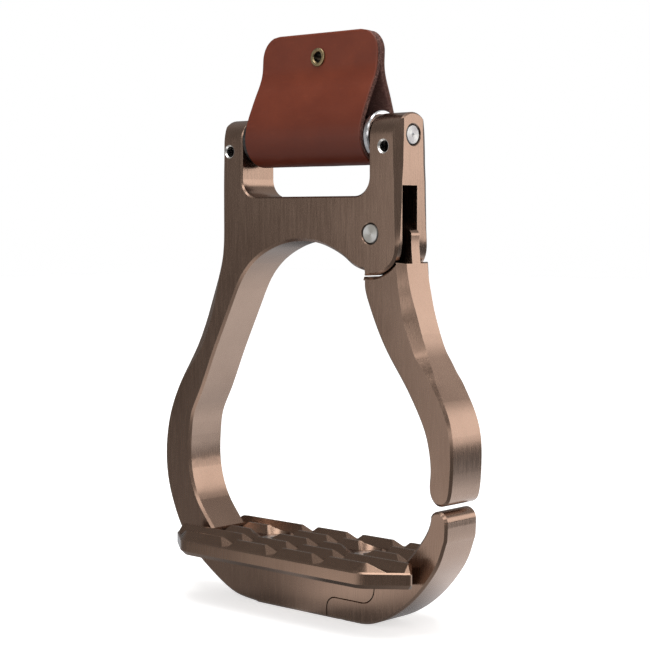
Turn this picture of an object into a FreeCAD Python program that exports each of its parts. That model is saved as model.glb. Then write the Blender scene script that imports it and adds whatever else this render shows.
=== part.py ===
import FreeCAD, Part
import os
import math
from FreeCAD import Vector

# Safety stirrup iron with an outward-opening sprung side arm.
# Frame: X across the foot opening (the release arm is at +X), Y from front
# to back of the flat bar (front is -Y), Z up.  The origin is the centre of
# the flat underside of the base.  All lengths are millimetres.

X_AXIS = (1, 0, 0)
Y_AXIS = (0, 1, 0)
Z_AXIS = (0, 0, 1)

# ------------------------------------------------------- shared dimensions
BAR_DEPTH = 18.0            # thickness of the flat bar the frame is cut from
HALF = BAR_DEPTH / 2
EDGE_BEVEL = 0.9            # ordinary bevel along the front and back outlines
AXLE_Z = 179.1              # height of the strap roller axle
EAR_OUT_L = 43.95           # outer face of the left ear
EAR_OUT_R = 45.9            # outer face of the right ear
PIN_R = 3.6                 # roller axle and hinge pin radius
PIVOT = (33.0, 143.6)       # hinge pin axis, X and Z
PIVOT_X, PIVOT_Z = PIVOT
CHEEK_R = 15.1              # rounded cheek about the hinge pin
SLOT_Y = (-6.2, 2.2)        # hinge slot in the right cheek
SLOT_END_X = 44.0           # centre of the slot's round end
SLOT_END_R = 17.4
TONGUE_Y = (-2.5, 2.0)      # arm tongue inside the slot
SPRING_LEG_R = 9.0          # moving spring leg's hole, distance from the pin
SPRING_LEG_DEG = -38.0      # and its angle about the pin
SIDE_X = 49.3               # inner face of each frame side at the tread
TREAD_Z0 = 18.3             # underside of the tread, top of the base
TREAD_FLOOR = 24.4          # valley level between the teeth
SCREW_X = 24.0              # tread screws, either side of the centre
INSERT_R = 3.4              # threaded inserts for the tread screws
INSERT_HOLE_DEPTH = 9.0
SET_X, SET_Z = 39.2, 174.9  # set screws that lock the axle in the ears
PIN_MOUTH = 0.5             # depth of the countersinks on the pin bores

# Lap joint in the base: a low step at the left, a high one at the right
LAP_X = 11.7
LAP_RIGHT = 35.1
LAP_Z = 8.4                 # height of the lap face
LAP_LOW_R, LAP_LOW_SAG = 4.4, 1.29      # bend at the left, corner to arc middle
LAP_HIGH_R, LAP_HIGH_SAG = 5.6, 1.64    # bend at the right
LAP_SCREWS = [(18.6, 4.4), (18.6, -4.4)]    # X, Y
LAP_DOWELS = [(29.4, 4.4), (29.4, -4.4)]    # X, Y


# ----------------------------------------------------------------- helpers
def interpolated(vectors, start_dir=None, end_dir=None):
    tangents = {}
    if start_dir is not None:
        tangents["InitialTangent"] = Vector(*start_dir)
    if end_dir is not None:
        tangents["FinalTangent"] = Vector(*end_dir)
    curve = Part.BSplineCurve()
    curve.interpolate(vectors, **tangents)
    return curve.toShape()


def in_xz(point):
    return Vector(point[0], 0, point[1])


def spline(points, start_dir=None, end_dir=None):
    """Curve through X-Z points, with optional X-Z end directions."""
    return interpolated([in_xz(p) for p in points],
                        start_dir and in_xz(start_dir), end_dir and in_xz(end_dir))


def line(start, end):
    return Part.makeLine(in_xz(start), in_xz(end))


def arc(start, through, end):
    return Part.Arc(in_xz(start), in_xz(through), in_xz(end)).toShape()


def polar(centre, radius, degrees):
    angle = math.radians(degrees)
    return (centre[0] + radius * math.cos(angle), centre[1] + radius * math.sin(angle))


def polygon_face(points):
    return Part.Face(Part.makePolygon(points + points[:1]))


def split_long(edges):
    """Divide long free curves, so that each side face stays simple."""
    result = []
    for edge in edges:
        if not isinstance(edge.Curve, Part.BSplineCurve) or edge.Length < 25:
            result.append(edge)
            continue
        count = int(edge.Length // 14) + 1
        first, last = edge.FirstParameter, edge.LastParameter
        for k in range(count):
            result.append(edge.Curve.toShape(first + (last - first) * k / count,
                                             first + (last - first) * (k + 1) / count))
    return result


def prism(edges, y0, y1):
    """Solid of a closed X-Z outline drawn at Y = 0, between two Y planes."""
    face = Part.Face(Part.Wire(Part.__sortEdges__(split_long(edges))))
    face.translate(Vector(0, y0, 0))
    return face.extrude(Vector(0, y1 - y0, 0))


def box(x0, x1, y0, y1, z0, z1):
    return Part.makeBox(x1 - x0, y1 - y0, z1 - z0, Vector(x0, y0, z0))


def cyl(radius, base, axis, length):
    return Part.makeCylinder(radius, length, Vector(*base), Vector(*axis))


def cone(base_r, end_r, base, axis, length):
    return Part.makeCone(base_r, end_r, length, Vector(*base), Vector(*axis))


def hex_socket(radius, base, side, along):
    """Hexagonal prism: corners in the plane of X and side, extruded by along."""
    corners = []
    for k in range(6):
        angle = math.radians(60 * k)
        corners.append(Vector(*base) + Vector(1, 0, 0) * (radius * math.cos(angle))
                       + Vector(*side) * (radius * math.sin(angle)))
    return polygon_face(corners).extrude(Vector(*along))


def chamfer_rims(cylinder, size):
    """Chamfer both end circles of a plain cylinder."""
    return cylinder.makeChamfer(size, [e for e in cylinder.Edges if e.Closed])


# ------------------------------------------------------------ edge bevels
SAMPLE_STEP = 2.2           # spacing of the stations along a bevelled edge
CUTTER_OVERSHOOT = 0.25     # cutter reach past the bevel, as a share of it
CUTTER_STANDOFF = 0.4       # cutter's third edge, clear of the bar face


def sample(edges, reverse):
    """X-Z points and unit tangents along a chain of edges, in order."""
    points, tangents = [], []
    for k, edge in enumerate(edges):
        count = max(3, int(math.ceil(edge.Length / SAMPLE_STEP)) + 1)
        stations = edge.discretize(Number=count)
        if reverse:
            stations = list(reversed(stations))
        for j, station in enumerate(stations):
            if k and j == 0:
                continue
            tangent = edge.tangentAt(edge.Curve.parameter(station))
            if reverse:
                tangent = tangent * -1
            points.append((station.x, station.z))
            tangents.append((tangent.x, tangent.z))
    return points, tangents


def bevel_cutter(edges, air_side, size, back, extend, reverse):
    """Triangular cutter that runs along a smooth chain of outline edges."""
    points, tangents = sample(edges, reverse)

    def beyond(index, distance):
        return (points[index][0] + tangents[index][0] * distance,
                points[index][1] + tangents[index][1] * distance)

    if extend[0]:
        points.insert(0, beyond(0, -extend[0]))
        tangents.insert(0, tangents[0])
    if extend[1]:
        points.append(beyond(-1, extend[1]))
        tangents.append(tangents[-1])

    on_face, on_side, outside = [], [], []
    for (x, z), (tangent_x, tangent_z) in zip(points, tangents):
        normal_x, normal_z = -tangent_z * air_side, tangent_x * air_side
        width, depth = size(x, z)
        face_point = Vector(x - normal_x * width, -HALF, z - normal_z * width)
        side_point = Vector(x, -HALF + depth, z)
        reach = (side_point - face_point) * CUTTER_OVERSHOOT
        face_point = face_point - reach
        side_point = side_point + reach
        outer_point = Vector(side_point.x, face_point.y - CUTTER_STANDOFF, side_point.z)
        for row, point in ((on_face, face_point), (on_side, side_point), (outside, outer_point)):
            row.append(Vector(point.x, -point.y if back else point.y, point.z))

    # all three rails share one parameter, so the ruled faces do not twist
    travel = [0.0]
    for (x0, z0), (x1, z1) in zip(points, points[1:]):
        travel.append(travel[-1] + math.hypot(x1 - x0, z1 - z0))

    def rail(row):
        curve = Part.BSplineCurve()
        curve.interpolate(Points=row, Parameters=travel)
        return curve.toShape()

    face_rail, side_rail, outer_rail = rail(on_face), rail(on_side), rail(outside)
    faces = [Part.makeRuledSurface(face_rail, side_rail),
             Part.makeRuledSurface(side_rail, outer_rail),
             Part.makeRuledSurface(outer_rail, face_rail)]
    for k in (0, -1):
        faces.append(polygon_face([on_face[k], on_side[k], outside[k]]))
    shell = Part.makeShell(faces)
    shell.sewShape()
    solid = Part.makeSolid(shell)
    if solid.Volume < 0:
        solid.reverse()
    return solid


def bevel(solid, edges, air_side, size, extend=(0.0, 0.0), reverse=False):
    """Bevel a chain of outline edges at the front and the back.
    air_side is +1 when the open air lies to the left of the direction of
    travel in X-Z.  size(x, z) gives the width on the face and the depth in Y.
    extend lengthens the cutter at its start and end."""
    for back in (False, True):
        result = solid.cut(bevel_cutter(edges, air_side, size, back, extend, reverse))
        # a boolean that fails gives a broken or wildly wrong solid: skip it
        if result.isValid() and solid.Volume * 0.9 <= result.Volume <= solid.Volume:
            solid = result
    return solid


def bevel_table(rows):
    """Bevel size, eased over height between rows of (z, width, depth)."""
    def size(x, z):
        if z <= rows[0][0]:
            return rows[0][1], rows[0][2]
        for (z0, width0, depth0), (z1, width1, depth1) in zip(rows, rows[1:]):
            if z <= z1:
                blend = (z - z0) / (z1 - z0)
                blend = blend * blend * (3 - 2 * blend)
                return width0 + (width1 - width0) * blend, depth0 + (depth1 - depth0) * blend
        return rows[-1][1], rows[-1][2]
    return size


def plain_size(x, z):
    return EDGE_BEVEL, EDGE_BEVEL


def seam_size(x, z):
    return 0.42, 0.42


def lap_seam(offset):
    """Lap joint line from the underside up to the tread, set off to the
    right and below by offset."""
    skew = offset * 0.7
    low_x = LAP_X + offset
    low_z = LAP_Z - LAP_LOW_R
    low_end = (LAP_X + LAP_LOW_R, LAP_Z - offset)
    high_start = (LAP_RIGHT - LAP_HIGH_R, LAP_Z - offset)
    high_end = (LAP_RIGHT + offset, LAP_Z + LAP_HIGH_R)
    return [
        line((low_x, 0.0), (low_x, low_z)),
        arc((low_x, low_z), (LAP_X + LAP_LOW_SAG + skew, LAP_Z - LAP_LOW_SAG - skew), low_end),
        line(low_end, high_start),
        arc(high_start,
            (LAP_RIGHT - LAP_HIGH_SAG + skew, LAP_Z + LAP_HIGH_SAG - skew), high_end),
        line(high_end, (LAP_RIGHT + offset, TREAD_Z0)),
    ]


# -------------------------------------------------------------- main frame
BLANK_TOP = 190.0           # ears are drawn to here, then domed
EAR_IN = 32.4               # inner face of each ear
WINDOW_Z = 157.25           # floor of the strap window
WINDOW_R = 7.0              # its corner radius
WINDOW_BEVEL = 0.6
DOME_Z = 178.2              # centre of the round ear tops
CROWN = 0.6                 # chamfer around each dome end
SLOT_TOP = 161.0            # top of the slot in the side face
BORE_R = PIN_R + 0.01
SIDE_FOOT = (-SIDE_X, 26.1)     # where the left side's inner curve starts

# Left outline from the ear down to the flat of the base, X and Z
LEFT_OUTER = [
    (-EAR_OUT_L, 146.0), (-44.4, 139.0), (-46.1, 131.0), (-50.9, 117.5), (-55.5, 105.8),
    (-61.9, 93.9), (-69.6, 81.7), (-74.7, 70.4), (-77.0, 59.4), (-77.3, 52.4),
    (-75.9, 41.6), (-72.5, 32.1), (-69.0, 25.3), (-64.3, 19.2), (-58.9, 14.1),
    (-54.5, 11.0), (-48.3, 7.1), (-40.9, 3.2), (-34.2, 1.2), (-25.6, 0.25), (-18.0, 0.0)]
# Foot opening from the left side over the top towards the cheek, X and Z
INNER = [
    SIDE_FOOT, (-57.1, 35.6), (-61.6, 45.9), (-62.7, 55.6), (-62.3, 62.5), (-61.0, 70.5),
    (-56.9, 78.6), (-49.8, 93.5), (-42.9, 107.3), (-38.2, 116.5), (-35.9, 121.0),
    (-32.0, 127.0), (-25.4, 133.2), (-17.3, 137.5), (-9.4, 139.9), (-1.6, 140.6),
    (6.1, 140.1), (13.6, 138.0), (21.0, 134.4), (26.5, 131.2), (30.6, 129.3)]
# Bevel rows: z, width on the face, depth in Y
RIGHT_BEVEL = [
    (120, 0.9, 0.9), (136, 0.9, 0.9), (147.5, 1.3, 2.05), (156, 1.5, 2.6), (161, 1.6, 2.7),
    (170, 2.0, 3.4), (184.7, 2.4, 3.75), (190, 2.45, 3.9)]
LEFT_BEVEL = [
    (70, 0.9, 0.9), (84, 0.9, 1.0), (102, 3.6, 1.7), (114, 3.6, 2.0), (128, 2.4, 2.2),
    (146, 1.6, 2.0), (161, 1.6, 2.3), (176, 1.9, 3.0), (190, 2.45, 3.9)]


def window_outline():
    """Open outline of the strap window, from the right ear to the left."""
    sag = WINDOW_R * (1 - math.sqrt(0.5))
    corner_x, corner_z = EAR_IN - WINDOW_R, WINDOW_Z + WINDOW_R
    return [
        line((EAR_IN, BLANK_TOP), (EAR_IN, corner_z)),
        arc((EAR_IN, corner_z), (EAR_IN - sag, WINDOW_Z + sag), (corner_x, WINDOW_Z)),
        line((corner_x, WINDOW_Z), (-corner_x, WINDOW_Z)),
        arc((-corner_x, WINDOW_Z), (-EAR_IN + sag, WINDOW_Z + sag), (-EAR_IN, corner_z)),
        line((-EAR_IN, corner_z), (-EAR_IN, BLANK_TOP)),
    ]


def is_window_edge(edge):
    bounds = edge.BoundBox
    return (abs(abs(bounds.YMin) - HALF) < 1e-4 and bounds.YLength < 1e-4
            and abs(bounds.Center.x) < EAR_IN + 0.01
            and WINDOW_Z - 0.01 < bounds.ZMin < BLANK_TOP - 1)


def frame_blank():
    """Flat frame with its bevelled outlines, ears still square on top."""
    cheek_start = polar(PIVOT, CHEEK_R, -86)
    cheek_end = polar(PIVOT, CHEEK_R, -52)
    cheek_tangent = math.radians(86)
    left_chain = [
        line((-EAR_OUT_L, BLANK_TOP), LEFT_OUTER[0]),
        spline(LEFT_OUTER, (0, -1), (1, 0)),
        line(LEFT_OUTER[-1], (LAP_X, 0.0)),
    ]
    right_chain = [
        spline(INNER + [cheek_start], (-0.62, 0.78),
               (math.sin(cheek_tangent), math.cos(cheek_tangent))),
        arc(cheek_start, polar(PIVOT, CHEEK_R, -69), cheek_end),
        spline([cheek_end, (44.9, 135.2), (45.85, 139.5), (EAR_OUT_R, 145.0)],
               (0.788, 0.616), (0, 1)),
        line((EAR_OUT_R, 145.0), (EAR_OUT_R, BLANK_TOP)),
    ]
    outline = left_chain + lap_seam(0.0) + [
        line((LAP_RIGHT, TREAD_Z0), (-SIDE_X, TREAD_Z0)),
        line((-SIDE_X, TREAD_Z0), SIDE_FOOT),
    ] + right_chain + [
        line((EAR_OUT_R, BLANK_TOP), (EAR_IN, BLANK_TOP)),
    ] + window_outline() + [
        line((-EAR_IN, BLANK_TOP), (-EAR_OUT_L, BLANK_TOP)),
    ]
    frame = prism(outline, -HALF, HALF)
    frame = frame.makeChamfer(WINDOW_BEVEL, [e for e in frame.Edges if is_window_edge(e)])
    frame = bevel(frame, left_chain, -1, bevel_table(LEFT_BEVEL), extend=(0.0, 0.5))
    return bevel(frame, right_chain, -1, bevel_table(RIGHT_BEVEL))


def dome_ears(frame):
    """Round the ear tops to a half cylinder along X and chamfer its ends."""
    def at(y, z):
        return Vector(-100, y, z)

    wide, bottom = HALF + 1, -5
    profile = Part.makePolygon([at(-wide, bottom), at(-wide, DOME_Z), at(-HALF, DOME_Z)]).Edges
    profile.append(Part.Arc(at(-HALF, DOME_Z), at(0, DOME_Z + HALF), at(HALF, DOME_Z)).toShape())
    profile += Part.makePolygon([at(HALF, DOME_Z), at(wide, DOME_Z),
                                 at(wide, bottom), at(-wide, bottom)]).Edges
    frame = frame.common(Part.Face(Part.Wire(profile)).extrude(Vector(200, 0, 0)))

    for face_x, outward in ((EAR_OUT_R, 1), (EAR_IN, -1), (-EAR_IN, 1), (-EAR_OUT_L, -1)):
        if outward > 0:
            base = (face_x - CROWN, 0, DOME_Z)
            keep = cone(HALF, HALF - CROWN, base, X_AXIS, CROWN)
        else:
            base = (face_x, 0, DOME_Z)
            keep = cone(HALF - CROWN, HALF, base, X_AXIS, CROWN)
        ring = cyl(HALF + 2, base, X_AXIS, CROWN).cut(keep)
        frame = frame.cut(ring.common(box(face_x - 1, face_x + 1, -20, 20, DOME_Z, DOME_Z + 20)))
    return frame


def cut_hinge_slot(frame):
    """Straight mouth with a round end."""
    slot = cyl(SLOT_END_R, (SLOT_END_X, SLOT_Y[0], PIVOT_Z), Y_AXIS, SLOT_Y[1] - SLOT_Y[0])
    slot = slot.fuse(box(SLOT_END_X, 60, SLOT_Y[0], SLOT_Y[1], PIVOT_Z - SLOT_END_R, SLOT_TOP))
    return frame.cut(slot)


def bore_frame(frame):
    hinge_mouth_r = PIN_R + 0.55
    axle_mouth_r = PIN_R + 0.6
    holes = [
        # hinge pin
        cyl(BORE_R, (PIVOT_X, -HALF - 1, PIVOT_Z), Y_AXIS, BAR_DEPTH + 2),
        cone(hinge_mouth_r, PIN_R, (PIVOT_X, -HALF, PIVOT_Z), Y_AXIS, PIN_MOUTH),
        cone(PIN_R, hinge_mouth_r, (PIVOT_X, HALF - PIN_MOUTH, PIVOT_Z), Y_AXIS, PIN_MOUTH),
        # roller axle
        cyl(BORE_R, (-60, 0, AXLE_Z), X_AXIS, 120),
        cone(PIN_R, axle_mouth_r, (EAR_OUT_R - PIN_MOUTH, 0, AXLE_Z), X_AXIS, PIN_MOUTH),
        cone(axle_mouth_r, PIN_R, (-EAR_OUT_L, 0, AXLE_Z), X_AXIS, PIN_MOUTH),
    ]
    for x in (-SET_X, SET_X):
        holes.append(cyl(2.0, (x, -HALF - 1, SET_Z), Y_AXIS, HALF + 1 + 5.0))
        holes.append(cone(2.55, 2.0, (x, -HALF, SET_Z), Y_AXIS, 0.55))
    for x in (-SCREW_X, SCREW_X):
        holes.append(cyl(INSERT_R, (x, 0, TREAD_Z0 - INSERT_HOLE_DEPTH), Z_AXIS,
                         INSERT_HOLE_DEPTH + 1))
    for positions, length in ((LAP_SCREWS, 9.0), (LAP_DOWELS, 6.0)):
        for x, y in positions:
            holes.append(cyl(2.0, (x, y, LAP_Z - 1), Z_AXIS, length))
    for hole in holes:
        frame = frame.cut(hole)
    return frame


def main_frame():
    return bore_frame(cut_hinge_slot(dome_ears(frame_blank())))


# -------------------------------------------------------------- lower hook
LAP_GAP = 0.1               # gap between frame and hook along the seam
# Outer curve from the base up to the tip, X and Z
HOOK_OUTER = [
    (27.0, 0.0), (32.5, 0.55), (40.7, 3.6), (49.1, 8.8), (56.1, 15.0), (62.3, 22.4),
    (66.1, 29.0), (68.1, 34.6), (68.8, 40.4)]
# Inner curve from the tip down to the tread, X and Z
HOOK_INNER = [(61.2, 43.7), (60.2, 39.5), (57.4, 34.8), (51.9, 28.2), (SIDE_X, 25.4)]
HOOK_TIP = (68.75, 41.9)    # outer start of the rounded tip


def lower_hook():
    outer_chain = [
        line((LAP_X + LAP_GAP, 0.0), HOOK_OUTER[0]),
        spline(HOOK_OUTER, (1, 0), (0.04, 1.0)),
        line(HOOK_OUTER[-1], HOOK_TIP),
    ]
    tip = arc(HOOK_TIP, (64.95, 46.0), HOOK_INNER[0])
    inner = spline(HOOK_INNER, (-0.1, -1.0))
    seam = lap_seam(LAP_GAP)
    hook = prism(outer_chain + [
        tip, inner,
        line(HOOK_INNER[-1], (SIDE_X, TREAD_Z0)),
        line((SIDE_X, TREAD_Z0), (LAP_RIGHT + LAP_GAP, TREAD_Z0)),
    ] + seam, -HALF, HALF)
    hook = bevel(hook, outer_chain, -1, plain_size, extend=(0.5, 0.0))
    hook = bevel(hook, [tip], -1, plain_size)
    hook = bevel(hook, [inner], -1, plain_size)
    hook = bevel(hook, seam, 1, seam_size, extend=(0.3, 0.0))
    # countersunk clearance holes for the lap screws, blind dowel holes
    for x, y in LAP_SCREWS:
        hook = hook.cut(cyl(2.1, (x, y, -1), Z_AXIS, 12))
        hook = hook.cut(cone(4.0, 2.0, (x, y, 0), Z_AXIS, 2.0))
    for x, y in LAP_DOWELS:
        hook = hook.cut(cyl(2.0, (x, y, LAP_Z - 5.0), Z_AXIS, 6))
    return hook


def lap_screws():
    screws = []
    for x, y in LAP_SCREWS:
        screw = cone(3.85, 1.95, (x, y, 0.1), Z_AXIS, 1.9)
        screw = screw.fuse(cyl(1.95, (x, y, 1.9), Z_AXIS, 13.3))
        screws.append(screw.cut(hex_socket(1.4, (x, y, 0.0), Y_AXIS, (0, 0, 1.8))))
    return Part.makeCompound(screws)


def lap_dowels():
    half_length = 4.8
    return Part.makeCompound([cyl(1.995, (x, y, LAP_Z - half_length), Z_AXIS, 2 * half_length)
                              for x, y in LAP_DOWELS])


# ------------------------------------------------------------------- tread
TREAD_XL = -62.1            # left end
TREAD_XR = 58.9             # right end
TREAD_YF = -28.0            # front edge
TREAD_YB = 21.0             # back edge
TREAD_TOP = 27.5            # ridge of the teeth
RISE = TREAD_TOP - TREAD_FLOOR
CUT_X = 14.5                # corner cuts
CUT_Y = 11.5
CORNER_R = 9.0              # rounding where the cuts meet front and back
SHOULDER_Y = 14.0           # back cuts start here on the teeth's outline
NOTCH_END = 46.4            # end of the notch around each frame side
NOTCH_HALF = HALF + 0.15
FLARE = 6.6                 # flared mouth of the notch
ROWS = 5
ROW_PITCH = 9.95
ROW_FIRST = -25.2           # front top edge of the first ridge
RIDGE = 0.8                 # width of the flat along a ridge
FRONT_RAMP = 2.2            # run of a ridge's front slope
BACK_RAMP = 3.0             # run of a ridge's back slope
GAP_PITCH = 23.6            # cross cuts that break the ridges into teeth
GAP_SHIFT = 1.2             # X of the middle cut where it is turned
GAP_TURN_Y = -15            # Y about which the cuts are turned
GAP_ANGLE = 6.9             # the cuts run slightly askew from front to back
GAP_FLOOR = 2.6
GAP_RAMP = 3.0
ROW_END_X = 46.0            # ridges stop here in front of the frame sides
POCKET_R = 6.6              # pockets around the screws, at the floor
POCKET_RAMP = 3.0
HEAD_DEPTH = 2.4            # countersink of the tread screws
TOOL_RISE = 1.0             # groove cutters reach this far above the teeth


def tread_block(z0, z1):
    def end_points(end_x):
        """One end of the outline, front to back, as for the +X end."""
        mouth_x = end_x - FLARE
        return [(end_x - CUT_X, TREAD_YF), (end_x, TREAD_YF + CUT_Y),
                (end_x, -NOTCH_HALF - FLARE), (mouth_x, -NOTCH_HALF),
                (NOTCH_END, -NOTCH_HALF), (NOTCH_END, NOTCH_HALF),
                (mouth_x - 1.0, NOTCH_HALF), (end_x - 2.2, NOTCH_HALF + 2.6),
                (end_x - CUT_X, TREAD_YB)]

    def is_rounded(edge):
        bounds = edge.BoundBox
        upright = bounds.ZLength > 1 and bounds.XLength < 1e-4 and bounds.YLength < 1e-4
        return upright and min(abs(bounds.YMin - TREAD_YF), abs(bounds.YMin - TREAD_YB)) < 1e-3

    left = [(-x, y) for x, y in reversed(end_points(-TREAD_XL))]
    face = polygon_face([Vector(x, y, 0) for x, y in end_points(TREAD_XR) + left])
    face.translate(Vector(0, 0, z0))
    block = face.extrude(Vector(0, 0, z1 - z0))
    return block.makeFillet(CORNER_R, [e for e in block.Edges if is_rounded(e)])


def rim_edges(block, z):
    """Edges of the outer rim at height z, without the notches."""
    result = []
    for edge in block.Edges:
        bounds = edge.BoundBox
        level = abs(bounds.ZMax - z) < 1e-4 and abs(bounds.ZMin - z) < 1e-4
        if level and (bounds.YMax < -NOTCH_HALF - FLARE + 0.05 or bounds.YMin > 11.0):
            result.append(edge)
    return result


def inset_outline(inset, z):
    """Outer rim of the tread without its notches, moved inwards by inset."""
    # X, Y, rounded corner or not
    stations = [
        (TREAD_XL + CUT_X, TREAD_YF, True), (TREAD_XR - CUT_X, TREAD_YF, True),
        (TREAD_XR, TREAD_YF + CUT_Y, False), (TREAD_XR, SHOULDER_Y, False),
        (TREAD_XR - CUT_X, TREAD_YB, True), (TREAD_XL + CUT_X, TREAD_YB, True),
        (TREAD_XL, SHOULDER_Y, False), (TREAD_XL, TREAD_YF + CUT_Y, False)]
    radius = CORNER_R - inset
    count = len(stations)

    def left_of(direction):
        return Vector(-direction.y, direction.x, 0)

    def meet(first, second):
        (start, along), (other_start, other_along) = first, second
        apart = other_start - start
        distance = ((apart.x * other_along.y - apart.y * other_along.x)
                    / (along.x * other_along.y - along.y * other_along.x))
        return start + along * distance

    lines = []
    for i in range(count):
        start = Vector(*stations[i][:2], 0)
        end = Vector(*stations[(i + 1) % count][:2], 0)
        along = (end - start).normalize()
        lines.append((start + left_of(along) * inset, along))

    ends, arcs = [], []
    for i in range(count):
        corner = meet(lines[i - 1], lines[i])
        if not stations[i][2]:
            ends.append((corner, corner))
            arcs.append(None)
            continue
        before, after = lines[i - 1][1], lines[i][1]
        half_turn = before.getAngle(after) / 2
        setback = radius * math.tan(half_turn)
        start, end = corner - before * setback, corner + after * setback
        inward = (left_of(before) + left_of(after)).normalize()
        centre = corner + inward * (radius / math.cos(half_turn))
        ends.append((start, end))
        arcs.append(Part.Arc(start, centre - inward * radius, end).toShape())

    edges = []
    for i in range(count):
        if arcs[i]:
            edges.append(arcs[i])
        edges.append(Part.makeLine(ends[i][1], ends[(i + 1) % count][0]))
    wire = Part.Wire(edges)
    wire.translate(Vector(0, 0, z))
    return wire


def groove(floor, top, direction, start, length):
    """Cutter of constant section along X or Y.  floor and top are the two
    limits across it at the valley level and above the teeth."""
    section = [(floor[0], TREAD_FLOOR), (floor[1], TREAD_FLOOR),
               (top[1], TREAD_TOP + TOOL_RISE), (top[0], TREAD_TOP + TOOL_RISE)]
    if direction == "x":
        return polygon_face([Vector(start, y, z) for y, z in section]).extrude(
            Vector(length, 0, 0))
    return polygon_face([Vector(x, start, z) for x, z in section]).extrude(Vector(0, length, 0))


def tooth_cutters():
    over = TOOL_RISE / RISE     # share of a ramp's run added above the teeth
    cutters = []
    # valleys that run along X between the ridges, and the outer slopes
    for k in range(ROWS + 1):
        behind = ROW_FIRST + k * ROW_PITCH          # front top edge of the ridge behind
        ahead = behind - ROW_PITCH + RIDGE          # back top edge of the ridge in front
        floor_start, floor_end = ahead + BACK_RAMP, behind - FRONT_RAMP
        top_start, top_end = ahead - BACK_RAMP * over, behind + FRONT_RAMP * over
        if k == 0:
            floor_start = floor_end - 6.0
            top_start = floor_start
        if k == ROWS:
            floor_end = floor_start + 12.0
            top_end = floor_end
        cutters.append(groove((floor_start, floor_end), (top_start, top_end), "x", -70, 140))
    # cross cuts that run front to back
    gap_run = GAP_RAMP * (1 + over)
    for k in (-1, 0, 1):
        x = GAP_SHIFT + k * GAP_PITCH
        floor_half = GAP_FLOOR / 2
        top_half = floor_half + gap_run
        gap = groove((x - floor_half, x + floor_half), (x - top_half, x + top_half),
                     "y", TREAD_YF - 5, 60)
        gap.rotate(Vector(x, GAP_TURN_Y, 0), Vector(0, 0, 1), -GAP_ANGLE)
        cutters.append(gap)
    # the ridges next to the frame sides stop short with a sloped end
    for side in (-1, 1):
        far = 52.0 * side
        cutters.append(groove((ROW_END_X * side, far), ((ROW_END_X - gap_run) * side, far),
                              "y", -NOTCH_HALF, 2 * NOTCH_HALF))
    # conical pockets around the two screws
    height = RISE + 0.5
    for x in (-SCREW_X, SCREW_X):
        cutters.append(cone(POCKET_R, POCKET_R + POCKET_RAMP * height / RISE,
                            (x, 0, TREAD_FLOOR), Z_AXIS, height))
    return cutters


def tread_plate():
    slab = tread_block(TREAD_Z0, TREAD_FLOOR)
    slab = slab.makeChamfer(1.7, rim_edges(slab, TREAD_Z0))
    slab = slab.makeChamfer(0.55, rim_edges(slab, TREAD_FLOOR))
    # the teeth fall away in a slope all round the rim
    teeth = tread_block(TREAD_FLOOR, TREAD_TOP)
    teeth = teeth.common(Part.makeLoft(
        [inset_outline(0.6, TREAD_FLOOR), inset_outline(2.3, TREAD_TOP)], True, True))
    for cutter in tooth_cutters():
        teeth = teeth.cut(cutter)
    tread = slab.fuse(teeth)
    # countersinks and clearance holes
    for x in (-SCREW_X, SCREW_X):
        tread = tread.cut(cone(2.6, 5.0, (x, 0, TREAD_FLOOR - HEAD_DEPTH), Z_AXIS, HEAD_DEPTH))
        tread = tread.cut(cyl(2.6, (x, 0, TREAD_Z0 - 1), Z_AXIS, 8))
    return tread


def tread_screws():
    shank_r = 2.45
    head_z = TREAD_FLOOR - 2.45
    shank_z = TREAD_Z0 - 8.0
    screws = []
    for x in (-SCREW_X, SCREW_X):
        screw = cone(shank_r, 4.85, (x, 0, head_z), Z_AXIS, 2.35)
        # the shank overlaps the head slightly so that the two fuse
        screw = screw.fuse(cyl(shank_r, (x, 0, shank_z), Z_AXIS, head_z - shank_z + 0.001))
        screws.append(screw.cut(hex_socket(1.75, (x, 0, TREAD_FLOOR - 1.9), Y_AXIS, (0, 0, 4))))
    return Part.makeCompound(screws)


def tread_inserts():
    inserts = []
    for x in (-SCREW_X, SCREW_X):
        sleeve = cyl(INSERT_R, (x, 0, TREAD_Z0 - 8.8), Z_AXIS, 8.7)
        inserts.append(sleeve.cut(cyl(2.47, (x, 0, TREAD_Z0 - 9.5), Z_AXIS, 10.5)))
    return Part.makeCompound(inserts)


# ------------------------------------------------------- release arm, hinge
ARM_GAP = 0.7               # gap between the cheek and the arm shoulder
EYE_R = 6.2                 # round eye of the tongue about the pin
BUSH_R = 4.8                # outer radius of the hinge bush
TONGUE_GAP = 0.2            # tongue to the slot's round end
# Down the outer side, round the foot and up the inner side, X and Z
ARM_OUTLINE = [
    (47.8, 132.9), (49.4, 123.5), (52.15, 114.2), (56.55, 102.5), (59.9, 96.0),
    (63.0, 90.2), (66.4, 84.2), (69.2, 78.1), (70.7, 71.9), (71.15, 64.0), (70.9, 58.0),
    (70.2, 52.2), (69.0, 49.3), (66.6, 47.9), (63.7, 48.1), (61.5, 50.1),
    (60.5, 53.2), (60.8, 58.5), (60.4, 65.0), (58.4, 73.0), (54.3, 81.2), (48.8, 89.9),
    (41.4, 100.0), (35.5, 110.2), (31.8, 118.4), (30.1, 123.4), (29.9, 126.7)]
# Bevel rows of the outer side: z, width on the face, depth in Y
ARM_BEVEL = [
    (70, 0.9, 0.9), (84, 0.9, 1.2), (90, 1.0, 1.5), (96, 1.9, 2.7), (102.5, 3.2, 3.7),
    (114.2, 3.6, 3.8), (123.5, 2.8, 3.3), (132.9, 2.3, 3.1)]


def arm_bevel_size(x, z):
    """The wide facet runs down the outer side only."""
    middle_x = 39.5 + (133.0 - z) * 0.32
    if x > middle_x and z > 70:
        return bevel_table(ARM_BEVEL)(x, z)
    return plain_size(x, z)


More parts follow.
